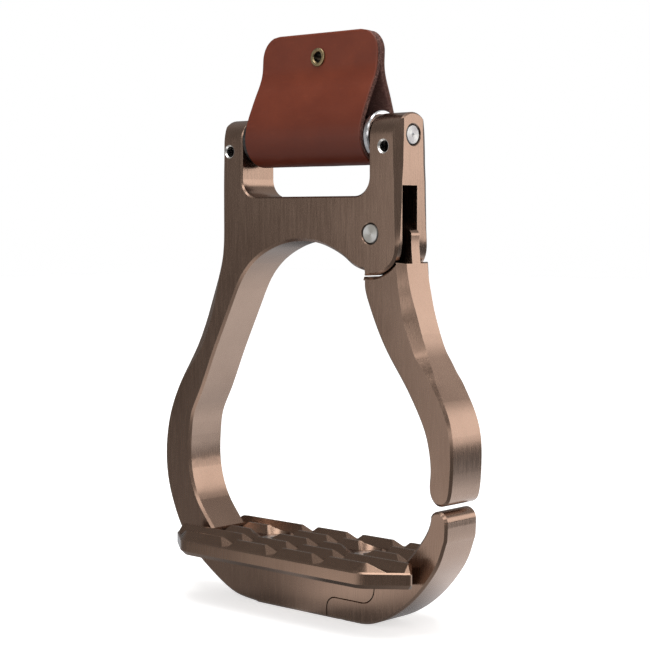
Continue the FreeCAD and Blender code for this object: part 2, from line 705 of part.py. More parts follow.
def arm_tongue():
    end_r = SLOT_END_R - TONGUE_GAP
    end_centre = (SLOT_END_X, PIVOT_Z)
    start = (SLOT_END_X - end_r, PIVOT_Z)
    lower = polar(end_centre, end_r, 240)
    eye_top = polar(PIVOT, EYE_R, 68)
    return prism([
        arc(start, polar(end_centre, end_r, 207), lower),
        line(lower, (40.0, 121.0)),
        line((40.0, 121.0), (48.4, 123.0)),
        spline([(48.4, 123.0), (47.7, 132.9), (47.2, 138.0), (47.15, 143.0)]),
        arc((47.15, 143.0), (46.5, 144.6), (45.0, 145.4)),
        line((45.0, 145.4), eye_top),
        arc(eye_top, polar(PIVOT, EYE_R, 125), start),
    ], *TONGUE_Y)


def release_arm():
    shoulder_r = CHEEK_R + ARM_GAP
    top_left = polar(PIVOT, shoulder_r, -99.5)
    top_right = polar(PIVOT, shoulder_r, -40.5)
    top = arc(top_left, polar(PIVOT, shoulder_r, -65), top_right)
    body = spline(ARM_OUTLINE, end_dir=(-0.2, 1.0))
    arm = prism([top, line(top_right, ARM_OUTLINE[0]), body, line(ARM_OUTLINE[-1], top_left)],
                -HALF, HALF)
    arm = bevel(arm, [top], 1, plain_size)
    arm = bevel(arm, [body], -1, arm_bevel_size, extend=(0.0, 0.6), reverse=True)
    arm = arm.fuse(arm_tongue())
    arm = arm.cut(cyl(BUSH_R, (PIVOT_X, -10, PIVOT_Z), Y_AXIS, 20))
    # blind hole for the moving spring leg
    x, z = polar(PIVOT, SPRING_LEG_R, SPRING_LEG_DEG)
    return arm.cut(cyl(0.55, (x, TONGUE_Y[0] - 0.1, z), Y_AXIS, 2.1))


def hinge_bush():
    sleeve = cyl(BUSH_R, (PIVOT_X, TONGUE_Y[0], PIVOT_Z), Y_AXIS, TONGUE_Y[1] - TONGUE_Y[0])
    return sleeve.cut(cyl(PIN_R + 0.04, (PIVOT_X, -10, PIVOT_Z), Y_AXIS, 20))


def hinge_pin():
    recess = 0.1
    front = (PIVOT_X, -HALF + recess, PIVOT_Z)
    pin = chamfer_rims(cyl(PIN_R, front, Y_AXIS, BAR_DEPTH - 2 * recess), 0.3)
    # centre mark in the front end
    return pin.cut(cone(0.7, 0.0, front, Y_AXIS, 0.5))


# ----------------------------------------------------------- return spring
WIRE_R = 0.4
COIL_R = 4.75
COIL_Y = (-5.55, -3.2)      # between the front cheek and the tongue
COIL_START_DEG = 180.0
FULL_TURNS = 2.0
FIXED_LEG = 6.3             # length of the fixed leg
BEND_R = 0.9                # bend of the moving leg into the arm


def return_spring():
    """Torsion coil about the hinge pin with two tangential legs."""
    end_deg = SPRING_LEG_DEG + math.degrees(math.acos(COIL_R / SPRING_LEG_R))
    turns = FULL_TURNS + (COIL_START_DEG - end_deg) / 360.0
    pitch = (COIL_Y[1] - COIL_Y[0]) / turns
    helix = Part.makeHelix(pitch, pitch * turns, COIL_R)
    helix.rotate(Vector(0, 0, 0), Vector(1, 0, 0), -90)
    helix.rotate(Vector(0, 0, 0), Vector(0, 1, 0), -COIL_START_DEG)
    helix.translate(Vector(PIVOT_X, COIL_Y[0], PIVOT_Z))
    first, last = helix.Edges[0], helix.Edges[-1]
    coil_start = first.valueAt(first.FirstParameter)
    start_dir = first.tangentAt(first.FirstParameter).normalize()
    coil_end = last.valueAt(last.LastParameter)
    end_dir = last.tangentAt(last.LastParameter).normalize()

    fixed_end = coil_start - start_dir * FIXED_LEG
    # the moving leg bends towards +Y into the hole in the arm's tongue
    reach = math.sqrt(SPRING_LEG_R ** 2 - COIL_R ** 2)
    inward = Vector(0, 1, 0)
    bend_start = coil_end + end_dir * (reach - BEND_R)
    bend_middle = (bend_start + end_dir * (BEND_R * math.sin(math.radians(45)))
                   + inward * (BEND_R * (1 - math.cos(math.radians(45)))))
    bend_end = bend_start + end_dir * BEND_R + inward * BEND_R
    leg_tip = Vector(bend_end.x, TONGUE_Y[0] + 1.6, bend_end.z)
    path = [Part.makeLine(fixed_end, coil_start)] + list(helix.Edges) + [
        Part.makeLine(coil_end, bend_start),
        Part.Arc(bend_start, bend_middle, bend_end).toShape(),
        Part.makeLine(bend_end, leg_tip)]
    section = Part.Wire([Part.Circle(fixed_end, start_dir, WIRE_R).toShape()])
    return Part.Wire(path).makePipeShell([section], True, False)


# -------------------------------------------------------------- roller set
AXLE_RECESS = 0.25          # axle ends below the outer ear faces
ROLLER_R = 8.0              # steel roller sleeve
ROLLER_BORE = 5.5
ROLLER_HALF = 29.6
ROLLER_BUSH = 12            # length of the bush in each end of the roller
COLLAR_R = 9.3              # end collars between the roller and the ears
COLLAR_W = 2.3
COLLAR_GAP = 0.15           # roller end to collar


def roller_axle():
    axle = cyl(PIN_R, (-EAR_OUT_L + AXLE_RECESS, 0, AXLE_Z), X_AXIS,
               EAR_OUT_L + EAR_OUT_R - 2 * AXLE_RECESS)
    axle = chamfer_rims(axle, 0.35)
    # centre mark in the right end
    mark_depth = 0.5
    axle = axle.cut(cone(0.0, 0.7, (EAR_OUT_R - AXLE_RECESS - mark_depth, 0, AXLE_Z),
                         X_AXIS, mark_depth))
    for x in (-SET_X, SET_X):
        axle = axle.cut(cyl(2.02, (x, -10, SET_Z), Y_AXIS, 20))
    return axle


def axle_set_screws():
    screws = []
    for x in (-SET_X, SET_X):
        front = (x, -5.0, SET_Z)
        screw = cyl(1.97, front, Y_AXIS, 9.6)
        screws.append(screw.cut(hex_socket(1.15, front, Z_AXIS, (0, 2.2, 0))))
    return Part.makeCompound(screws)


def roller_sleeve():
    roller = chamfer_rims(cyl(ROLLER_R, (-ROLLER_HALF, 0, AXLE_Z), X_AXIS, 2 * ROLLER_HALF), 0.5)
    return roller.cut(cyl(ROLLER_BORE, (-40, 0, AXLE_Z), X_AXIS, 80))


def axle_clearance():
    return cyl(PIN_R + 0.05, (-50, 0, AXLE_Z), X_AXIS, 100)


def roller_bush(side):
    x = ROLLER_HALF - ROLLER_BUSH if side > 0 else -ROLLER_HALF
    return cyl(ROLLER_BORE, (x, 0, AXLE_Z), X_AXIS, ROLLER_BUSH).cut(axle_clearance())


def end_collar(side):
    inner_x = ROLLER_HALF + COLLAR_GAP
    x = inner_x if side > 0 else -inner_x - COLLAR_W
    collar = chamfer_rims(cyl(COLLAR_R, (x, 0, AXLE_Z), X_AXIS, COLLAR_W), 0.45)
    return collar.cut(axle_clearance())


# ----------------------------------------------------------- leather cover
# Drawn upright with the axle at the origin, then leant back and raised.
LEATHER_T = 2.2             # leather thickness
LEATHER_HALF = 29.3         # half of the strip width
LEATHER_IN = 8.3            # inside radius where the leather wraps the roller
LEATHER_OUT = LEATHER_IN + LEATHER_T
LEATHER_TOP = 39.2          # top edge above the axle
DOUBLE_HALF = LEATHER_T + 0.02      # half thickness where both ends meet
DOUBLE_Z = 26.0             # where the flat double part starts
LEAN = 3.0                  # degrees the cover leans back at rest
EYELET_UP = 30.2            # eyelet above the axle
EYELET_R = 2.5              # barrel radius
EYELET_BORE = 1.85
EYELET_FLANGE = 3.5
FLANGE_OUT = 0.75           # front of the flange, ahead of the leather
# Back half of the section from the axle level up, Y and Z
COVER_OUTER = [
    (LEATHER_OUT, 0.0), (9.85, 4.0), (8.95, 8.2), (7.35, 12.2), (5.5, 16.3),
    (3.4, 21.0), (2.3, 24.0), (DOUBLE_HALF, DOUBLE_Z)]
COVER_INNER = [
    (LEATHER_IN, 0.0), (7.95, 3.2), (7.15, 6.6), (5.5, 10.9), (3.6, 15.3),
    (1.6, 19.7), (0.0, 22.6)]


def cover_section():
    """Y-Z section: one strip wrapped round the roller, its two ends meeting
    above it."""
    def flank(points, sign, end_dir):
        return interpolated([Vector(0, sign * y, z) for y, z in points], (0, 0, 1), end_dir)

    def under(radius):
        return Part.Arc(Vector(0, radius, 0), Vector(0, 0, -radius),
                        Vector(0, -radius, 0)).toShape()

    def segment(y0, z0, y1, z1):
        return Part.makeLine(Vector(0, y0, z0), Vector(0, y1, z1))

    outer = Part.Face(Part.Wire(Part.__sortEdges__([
        segment(-DOUBLE_HALF, LEATHER_TOP, DOUBLE_HALF, LEATHER_TOP),
        segment(DOUBLE_HALF, LEATHER_TOP, DOUBLE_HALF, DOUBLE_Z),
        flank(COVER_OUTER, 1, (0, 0, 1)),
        under(LEATHER_OUT),
        flank(COVER_OUTER, -1, (0, 0, 1)),
        segment(-DOUBLE_HALF, DOUBLE_Z, -DOUBLE_HALF, LEATHER_TOP)])))
    inner = Part.Face(Part.Wire(Part.__sortEdges__([
        flank(COVER_INNER, 1, (0, -0.35, 1)),
        under(LEATHER_IN),
        flank(COVER_INNER, -1, (0, 0.35, 1))])))
    return outer.cut(inner)


def place_cover(shape):
    shape.rotate(Vector(0, 0, 0), Vector(1, 0, 0), -LEAN)
    shape.translate(Vector(0, 0, AXLE_Z))
    return shape


def leather_cover():
    def is_top_corner(edge):
        bounds = edge.BoundBox
        return (bounds.YLength > 3 and bounds.ZLength < 1e-3 and bounds.XLength < 1e-3
                and abs(bounds.ZMax - LEATHER_TOP) < 1e-3)

    section = cover_section()
    section.translate(Vector(-LEATHER_HALF, 0, 0))
    cover = section.extrude(Vector(2 * LEATHER_HALF, 0, 0))
    cover = cover.makeFillet(7.5, [e for e in cover.Edges if is_top_corner(e)])
    return place_cover(cover.cut(cyl(EYELET_R + 0.02, (0, -5, EYELET_UP), Y_AXIS, 10)))


def cover_eyelet():
    front = -DOUBLE_HALF - FLANGE_OUT
    eyelet = cyl(EYELET_R, (0, -DOUBLE_HALF - 0.5, EYELET_UP), Y_AXIS, 2 * DOUBLE_HALF + 1.0)
    flange = cyl(EYELET_FLANGE, (0, front, EYELET_UP), Y_AXIS, 0.7)
    flange = flange.makeFillet(0.4, [e for e in flange.Edges
                                     if e.Closed and abs(e.BoundBox.YMax - front) < 0.01])
    eyelet = eyelet.fuse(flange)
    eyelet = eyelet.cut(cyl(EYELET_BORE, (0, -6, EYELET_UP), Y_AXIS, 12))
    return place_cover(eyelet.cut(cone(EYELET_BORE + 0.5, EYELET_BORE,
                                       (0, front - 0.001, EYELET_UP), Y_AXIS, 0.6)))


def eyelet_washer():
    washer = cyl(EYELET_FLANGE + 0.2, (0, DOUBLE_HALF + 0.05, EYELET_UP), Y_AXIS, 0.5)
    return place_cover(washer.cut(cyl(EYELET_R + 0.02, (0, -6, EYELET_UP), Y_AXIS, 12)))


# ------------------------------------------------------------------ output
def export(shape, name):
    # repair a shape that its booleans have left invalid
    if not shape.isValid():
        shape.fix(1e-5, 1e-5, 1e-4)
    shape.exportStep("parts/%s.step" % name)


os.makedirs("parts", exist_ok=True)
export(main_frame(), "main_frame")
export(lower_hook(), "lower_hook")
export(lap_screws(), "lap_joint_screws")
export(lap_dowels(), "lap_joint_dowels")
export(tread_plate(), "tread_plate")
export(tread_screws(), "tread_screws")
export(tread_inserts(), "tread_screw_inserts")
export(release_arm(), "release_arm")
export(hinge_bush(), "hinge_bush")
export(hinge_pin(), "hinge_pin")
export(return_spring(), "arm_return_spring")
export(roller_axle(), "roller_axle")
export(axle_set_screws(), "axle_set_screws")
export(roller_sleeve(), "roller_sleeve")
for side, side_name in ((-1, "left"), (1, "right")):
    export(roller_bush(side), "roller_bush_" + side_name)
    export(end_collar(side), "thrust_washer_" + side_name)
export(leather_cover(), "leather_cover")
export(cover_eyelet(), "cover_eyelet")
export(eyelet_washer(), "eyelet_washer")
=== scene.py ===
"""Bronze frame with a hinged release arm, a tread plate and a roller covered in leather.

Metres, +Z up, floor at z = 0.  The front faces -Y.  The roller axle runs along X at
AXLE_Z, and the hinge pin runs along Y through (HINGE_X, HINGE_Z).  The leather is one
strip that runs down the front, round under the roller and back up behind.
"""
import math
from functools import cached_property

import bmesh
import bpy
from mathutils import Matrix, Vector, noise


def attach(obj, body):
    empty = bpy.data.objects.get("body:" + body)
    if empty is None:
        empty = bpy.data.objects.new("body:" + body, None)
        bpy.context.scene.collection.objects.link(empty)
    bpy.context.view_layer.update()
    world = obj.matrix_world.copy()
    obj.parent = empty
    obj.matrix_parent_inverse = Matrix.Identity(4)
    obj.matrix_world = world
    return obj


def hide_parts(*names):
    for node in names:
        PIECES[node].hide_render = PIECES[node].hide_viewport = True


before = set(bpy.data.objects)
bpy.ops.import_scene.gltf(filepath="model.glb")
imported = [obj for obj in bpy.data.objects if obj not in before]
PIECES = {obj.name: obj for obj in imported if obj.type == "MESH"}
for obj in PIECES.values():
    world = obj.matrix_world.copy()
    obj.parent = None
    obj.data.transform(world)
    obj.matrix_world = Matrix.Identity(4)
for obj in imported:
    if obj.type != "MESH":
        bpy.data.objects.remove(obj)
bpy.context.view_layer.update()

MM = 0.001

# Places of the pins, in mm
AXLE_Z = 179.1
HINGE_X, HINGE_Z = 33.0, 143.6

# Range that most of a noise texture's values fall in
NOISE_SPAN = (0.3, 0.7)


# ================================================================  shader graphs
def srgb(*channels):
    """Linear colour from 0-255 sRGB channels."""
    def linear(value):
        value /= 255.0
        return value / 12.92 if value <= 0.04045 else ((value + 0.055) / 1.055) ** 2.4
    return tuple(linear(value) for value in channels)


class Graph:
    """Builds a node tree; any input takes a constant or another node's output."""

    def __init__(self, tree):
        self.tree = tree
        tree.nodes.clear()

    def feed(self, socket, value):
        if isinstance(value, bpy.types.NodeSocket):
            self.tree.links.new(value, socket)
        elif socket.type == "RGBA":
            socket.default_value = (*value, 1.0)
        else:
            socket.default_value = value

    def add(self, kind, inputs=None, **settings):
        """New node; inputs maps socket names or numbers to values."""
        node = self.tree.nodes.new(kind)
        for key, value in settings.items():
            setattr(node, key, value)
        for key, value in (inputs or {}).items():
            self.feed(node.inputs[key], value)
        return node

    def math(self, operation, *values):
        return self.add("ShaderNodeMath", dict(enumerate(values)), operation=operation).outputs[0]

    def vector_math(self, operation, *vectors):
        node = self.add("ShaderNodeVectorMath", dict(enumerate(vectors)), operation=operation)
        return node.outputs["Value"]

    def hypot(self, a, b):
        squares = self.math("ADD", self.math("MULTIPLY", a, a), self.math("MULTIPLY", b, b))
        return self.math("SQRT", squares)

    def remap(self, value, span=NOISE_SPAN, to=(0.0, 1.0), curve="LINEAR"):
        """Carry the span onto the range `to`, clamped."""
        inputs = dict(enumerate((value, *span, *to)))
        return self.add("ShaderNodeMapRange", inputs, interpolation_type=curve).outputs[0]

    def camera_switch(self, hidden, seen):
        """The seen shader for camera rays, the hidden one for all others."""
        is_camera = self.add("ShaderNodeLightPath").outputs["Is Camera Ray"]
        return self.add("ShaderNodeMixShader", {0: is_camera, 1: hidden, 2: seen}).outputs[0]


class MaterialGraph(Graph):

    def __init__(self, name):
        self.material = bpy.data.materials.new(name)
        self.material.use_nodes = True
        super().__init__(self.material.node_tree)

    @cached_property
    def object_coords(self):
        return self.add("ShaderNodeTexCoord").outputs["Object"]

    def mapping(self, scale=(1, 1, 1), location=(0, 0, 0), source=None):
        inputs = {"Scale": scale, "Location": location, "Vector": source or self.object_coords}
        return self.add("ShaderNodeMapping", inputs).outputs[0]

    def strip_mapping(self, scale=(1, 1, 1)):
        """Coordinates laid along the leather strip."""
        uv = self.add("ShaderNodeUVMap", uv_map="strip").outputs[0]
        return self.mapping(scale, source=uv)

    def xyz(self):
        return self.add("ShaderNodeSeparateXYZ", {0: self.object_coords}).outputs[:3]

    def noise(self, vector, scale=1.0, detail=3.0, rough=0.5):
        inputs = {"Vector": vector, "Scale": scale, "Detail": detail, "Roughness": rough}
        return self.add("ShaderNodeTexNoise", inputs).outputs["Fac"]

    def voronoi(self, vector, scale, feature="F1"):
        inputs = {"Vector": vector, "Scale": scale}
        return self.add("ShaderNodeTexVoronoi", inputs, feature=feature).outputs["Distance"]

    def ramp(self, fac, stops):
        """Colour ramp through (position, colour) stops."""
        node = self.add("ShaderNodeValToRGB", {"Fac": fac})
        elements = node.color_ramp.elements
        elements.remove(elements[-1])
        elements[0].position = stops[0][0]
        elements[0].color = (*stops[0][1], 1.0)
        for position, color in stops[1:]:
            elements.new(position).color = (*color, 1.0)
        return node.outputs["Color"]

    def mix(self, fac, a, b):
        return self.add("ShaderNodeMix", {0: fac, 6: a, 7: b}, data_type="RGBA").outputs[2]

    def bump(self, height, strength, distance, normal=None):
        inputs = {"Strength": strength, "Distance": distance, "Height": height}
        if normal is not None:
            inputs["Normal"] = normal
        return self.add("ShaderNodeBump", inputs).outputs[0]

    def edge(self, radius, span=(0.02, 0.35)):
        """1 on sharp edges, 0 on flats."""
        rounded = self.add("ShaderNodeBevel", {"Radius": radius}, samples=6).outputs[0]
        true_normal = self.add("ShaderNodeNewGeometry").outputs["True Normal"]
        facing = self.vector_math("DOT_PRODUCT", rounded, true_normal)
        return self.remap(self.math("SUBTRACT", 1.0, facing), span=span)

    def finish(self, shader):
        self.add("ShaderNodeOutputMaterial", {0: shader})
        return self.material

    def surface(self, color, roughness, normal, metallic=0.0):
        inputs = {"Base Color": color, "Roughness": roughness, "Normal": normal,
                  "Metallic": metallic}
        return self.finish(self.add("ShaderNodeBsdfPrincipled", inputs).outputs[0])


# ================================================================  metals and polymer
BRONZE = srgb(155, 129, 113)
BRONZE_DARK = srgb(142, 117, 102)
BRONZE_LIGHT = srgb(178, 153, 137)


def hole_marks(g, color):
    """Bare metal in the countersinks and a thin dark line round each pin."""
    x, y, z = g.xyz()
    soft = 0.00005                      # half width of a ring's soft border
    pin_line = {"inner": 0.00352}       # inner radius of the dark lines

    def ring(u, center_u, v, center_v, inner, outer):
        radius = g.hypot(g.math("SUBTRACT", u, center_u), g.math("SUBTRACT", v, center_v))
        inside = g.remap(radius, span=(outer - soft, outer + soft), to=(1.0, 0.0))
        return g.math("MULTIPLY", inside, g.remap(radius, span=(inner - soft, inner + soft)))

    abs_x = g.math("ABSOLUTE", x)
    bare = ring(abs_x, 0.0392, z, 0.1749, inner=0.0, outer=0.00262)
    at_front = g.remap(y, span=(-0.006, -0.0055), to=(1.0, 0.0))
    color = g.mix(g.math("MULTIPLY", bare, at_front), color, srgb(250, 248, 244))
    hinge = ring(x, HINGE_X * MM, z, HINGE_Z * MM, outer=0.00395, **pin_line)
    at_sides = g.remap(abs_x, span=(0.040, 0.042))
    axle = g.math("MULTIPLY", ring(y, 0.0, z, AXLE_Z * MM, outer=0.0040, **pin_line), at_sides)
    lines = g.math("MULTIPLY", g.math("MAXIMUM", hinge, axle), 0.85)
    return g.mix(lines, color, srgb(52, 44, 40))


def bronze(name, base=BRONZE, dark=BRONZE_DARK, rough=0.235, seed=0.0, machined=False,
           holes=False):
    """Brushed bronze; the brushing runs along Z."""
    g = MaterialGraph(name)
    streak = g.noise(g.mapping(scale=(2600, 2600, 90), location=(seed, seed, 0)), rough=0.6)
    broad = g.noise(g.mapping(scale=(1300, 1300, 24), location=(seed * 2, 3, 1)), detail=2.0)
    cloud = g.noise(g.mapping(location=(seed, 0, 0)), scale=38.0, rough=0.55)
    speck = g.noise(g.mapping(), scale=5200.0, detail=1.0)
    color = g.mix(g.remap(cloud), dark, base)
    color = g.mix(g.remap(streak, span=(0.35, 0.75), to=(0.0, 0.24)), color, BRONZE_LIGHT)
    color = g.mix(g.remap(broad, span=(0.45, 0.80), to=(0.0, 0.12)), color, dark)

    # Lighter bronze along sharp edges: partly real edge wear, partly a painted highlight standing
    # in for the glint small chamfers would catch
    patches = g.noise(g.mapping(), scale=900.0, detail=4.0, rough=0.6)
    patches = g.remap(patches, span=(0.3, 0.6), to=(0.3, 1.0))
    edge_wear_and_glint = g.math("MULTIPLY", g.edge(radius=0.00035), patches)
    color = g.mix(g.math("MULTIPLY", edge_wear_and_glint, 0.6), color, srgb(232, 206, 182))
    if holes:
        color = hole_marks(g, color)

    roughness = g.math("ADD", g.remap(streak, to=(rough - 0.04, rough + 0.06)),
                       g.remap(speck, to=(-0.02, 0.03)))
    roughness = g.math("SUBTRACT", roughness, g.math("MULTIPLY", edge_wear_and_glint, 0.08))
    normal = g.bump(streak, strength=0.045, distance=0.00003)
    normal = g.bump(speck, strength=0.05, distance=0.00002, normal=normal)
    if machined:
        cuts = g.noise(g.mapping(scale=(240, 2200, 240)), detail=2.0)
        normal = g.bump(cuts, strength=0.10, distance=0.00005, normal=normal)
    return g.surface(color, roughness, normal, metallic=1.0)


def steel(name, dark, light, rough, grain=(400, 400, 400), bump=0.05):
    """Plain metal whose noise grain varies colour, roughness and relief together."""
    g = MaterialGraph(name)
    marks = g.noise(g.mapping(scale=grain), detail=4.0, rough=0.6)
    return g.surface(g.mix(g.remap(marks), dark, light),
                     g.remap(marks, to=(rough * 0.8, rough * 1.25)),
                     g.bump(marks, strength=bump, distance=0.00003), metallic=1.0)


def turned(name, axis, center, base):
    """Pin end: concentric turning marks, and two bright sweeps painted on as highlights.

    The center is (x, z) for a pin along Y and (y, z) for a pin along X.
    """
    g = MaterialGraph(name)
    x, y, z = g.xyz()
    u = g.math("SUBTRACT", x if axis == "Y" else y, center[0])
    v = g.math("SUBTRACT", z, center[1])
    radius = g.hypot(u, v)
    angle = g.math("ARCTAN2", v, u)
    ring_pitch = 0.00022
    rings = g.math("SINE", g.math("MULTIPLY", radius, 2 * math.pi / ring_pitch))
    radial = g.add("ShaderNodeCombineXYZ", {0: g.math("MULTIPLY", radius, 9000.0)}).outputs[0]
    jitter = g.noise(radial, detail=2.0, rough=0.7)
    # Painted highlight: two bright sweeps of the kind turning marks throw, mixed into the colour
    painted_sweep_highlight = g.math("ABSOLUTE", g.math("COSINE", g.math("ADD", angle, 0.5)))
    color = g.mix(g.math("POWER", painted_sweep_highlight, 3.0), base, srgb(250, 250, 248))
    color = g.mix(g.remap(jitter, span=(0.35, 0.65), to=(0.0, 0.55)), color, srgb(150, 147, 142))
    rim = g.remap(radius, span=(0.00318, 0.00335), to=(0.0, 0.75))
    color = g.mix(rim, color, srgb(70, 66, 62))
    height = g.math("ADD", g.math("MULTIPLY", rings, 0.3), jitter)
    return g.surface(color, g.remap(jitter, to=(0.34, 0.52)),
                     g.bump(height, strength=0.35, distance=0.00003), metallic=1.0)


def bearing_polymer():
    g = MaterialGraph("bearing_polymer")
    grain = g.noise(g.mapping(), scale=2600.0, detail=4.0, rough=0.6)
    return g.surface(g.mix(grain, srgb(92, 74, 56), srgb(120, 98, 76)),
                     g.remap(grain, to=(0.42, 0.58)),
                     g.bump(grain, strength=0.12, distance=0.00003))


def antique_brass():
    """Mottled brass with bright edges, and painted shade darkening the bore through the eyelet.
    """
    g = MaterialGraph("antique_brass")
    mottle = g.noise(g.mapping(), scale=1400.0, detail=5.0, rough=0.65)
    color = g.ramp(mottle, [(0.30, srgb(120, 104, 78)), (0.52, srgb(160, 142, 108)),
                            (0.72, srgb(190, 172, 136))])
    wear = g.math("MULTIPLY", g.edge(radius=0.0003), 0.7)
    color = g.mix(wear, color, srgb(222, 204, 164))
    # Distance from the bore's axis, which tilts with the leather
    bore_y, bore_z, bore_slope = 0.0016, 0.20934, -0.0524
    x, y, z = g.xyz()
    drop = g.math("MULTIPLY", g.math("SUBTRACT", y, bore_y), bore_slope)
    height = g.math("SUBTRACT", g.math("SUBTRACT", z, bore_z), drop)
    # Painted shade: dark colour inside the bore
    painted_bore_shade = g.remap(g.hypot(x, height), span=(0.00196, 0.00206), to=(1.0, 0.0))
    color = g.mix(painted_bore_shade, color, srgb(44, 36, 26))
    return g.surface(color, g.remap(mottle, to=(0.28, 0.46)),
                     g.bump(mottle, strength=0.15, distance=0.00004), metallic=1.0)


def assign(material, names):
    for name in names:
        piece = PIECES[name]
        if not piece.material_slots:
            piece.data.materials.append(material)
        for slot in piece.material_slots:
            slot.material = material


TURNED_GRAIN = (700, 5200, 5200)
FINISHES = [
    (bronze("bronze_frame", holes=True), ["main_frame", "lower_hook"]),
    (bronze("bronze_arm", seed=7.0), ["release_arm"]),
    (bronze("bronze_tread", base=srgb(147, 121, 104), dark=srgb(129, 105, 90), rough=0.24,
            seed=3.0, machined=True), ["tread_plate"]),
    (steel("stainless", srgb(188, 188, 188), srgb(226, 226, 226), rough=0.28),
     ["tread_screws", "lap_joint_screws", "lap_joint_dowels", "tread_screw_inserts"]),
    (steel("roller_polished", srgb(214, 215, 218), srgb(240, 240, 242), rough=0.10,
           grain=(60, 5200, 5200), bump=0.10), ["roller_sleeve"]),
    (steel("spring_wire", srgb(70, 66, 62), srgb(110, 104, 98), rough=0.35,
           grain=(900, 900, 900)), ["arm_return_spring"]),
    (steel("black_oxide", srgb(24, 24, 25), srgb(46, 46, 47), rough=0.42,
           grain=(700, 700, 700)), ["axle_set_screws"]),
    (turned("turned_hinge_pin", axis="Y", center=(HINGE_X * MM, HINGE_Z * MM),
            base=srgb(196, 193, 186)), ["hinge_pin"]),
    (turned("turned_axle", axis="X", center=(0.0, AXLE_Z * MM),
            base=srgb(206, 204, 206)), ["roller_axle"]),
    (bearing_polymer(), ["hinge_bush", "roller_bush_left", "roller_bush_right"]),
    (steel("collar_polished", srgb(226, 228, 232), srgb(246, 247, 250), rough=0.16,
           grain=TURNED_GRAIN, bump=0.08), ["thrust_washer_right"]),
    # The left washer is the same polished steel, given dark colours as painted shade where the
    # left ear shades it
    (steel("collar_painted_shade", srgb(74, 72, 72), srgb(104, 101, 100), rough=0.34,
           grain=TURNED_GRAIN, bump=0.08), ["thrust_washer_left"]),
    (antique_brass(), ["cover_eyelet", "eyelet_washer"]),
]
for material, names in FINISHES:
    assign(material, names)


# ================================================================  leather shape
# Sizes in mm; heights are measured from the roller axle.
INNER_R = 8.3                   # leather's inner radius round the roller
THICK = 2.2
MID_R = INNER_R + THICK / 2
TOP_Z = 39.4
HALF_WIDTH = 29.3
CORNER_R = 8.6                  # rounded corners at both ends of the strip
EDGE_R = 0.32                   # rounding of the cut edges
INNER_LIMIT = INNER_R + 0.02    # the inner face stays outside this radius
LEAN = math.radians(-3.0)       # turn about the axle; the top goes towards +Y

HOLE_R = 2.53                   # hole for the eyelet barrel
HOLE_FROM_END = TOP_Z - 30.2
DIMPLE_R, DIMPLE_DEPTH = 6.5, 0.20
DIMPLE_FROM_END = 9.0

COLUMNS = 100                   # faces across the strip
ROW_STEP = 0.55                 # row spacing along the strip
CURVE_STEPS = 12                # curve samples per span

OUTER, INNER = 0, 1             # the two faces of the strip
GRAIN, CUT_EDGE, FLESH = 0, 1, 2    # material slots

# Middle of the leather behind the roller, (y, z) from the top down to axle height
BACK_RUN = [
    (1.12, TOP_Z), (1.12, 35.0), (1.12, 31.0), (1.13, 28.0), (1.22, 26.0),
    (1.55, 23.9), (2.2, 21.7), (3.15, 19.3), (4.75, 15.8), (6.55, 11.4),
    (8.15, 7.2), (9.15, 3.4), (MID_R, 0.0),
]


def smooth_curve(points, steps):
    """Catmull-Rom curve through the points."""
    padded = [points[0], *points, points[-1]]
    curve = []
    for i in range(len(points) - 1):
        a, b, c, d = (Vector(p) for p in padded[i:i + 4])
        for k in range(steps):
            t = k / steps
            curve.append(0.5 * ((2 * b) + (c - a) * t + (2 * a - 5 * b + 4 * c - d) * t * t
                                + (3 * b - a - 3 * c + d) * t * t * t))
    curve.append(Vector(points[-1]))
    return curve


def resample(points, step):
    """Points at an even step, ending on the last point."""
    spaced = [points[0]]
    carried = 0.0
    for a, b in zip(points, points[1:]):
        gap = (b - a).length
        while carried + gap >= step and gap > 0:
            a = a + (b - a) * ((step - carried) / gap)
            gap = (b - a).length
            spaced.append(a)
            carried = 0.0
        carried += gap
    if (spaced[-1] - points[-1]).length > step * 0.3:
        spaced.append(points[-1])
    else:
        spaced[-1] = points[-1]
    return spaced


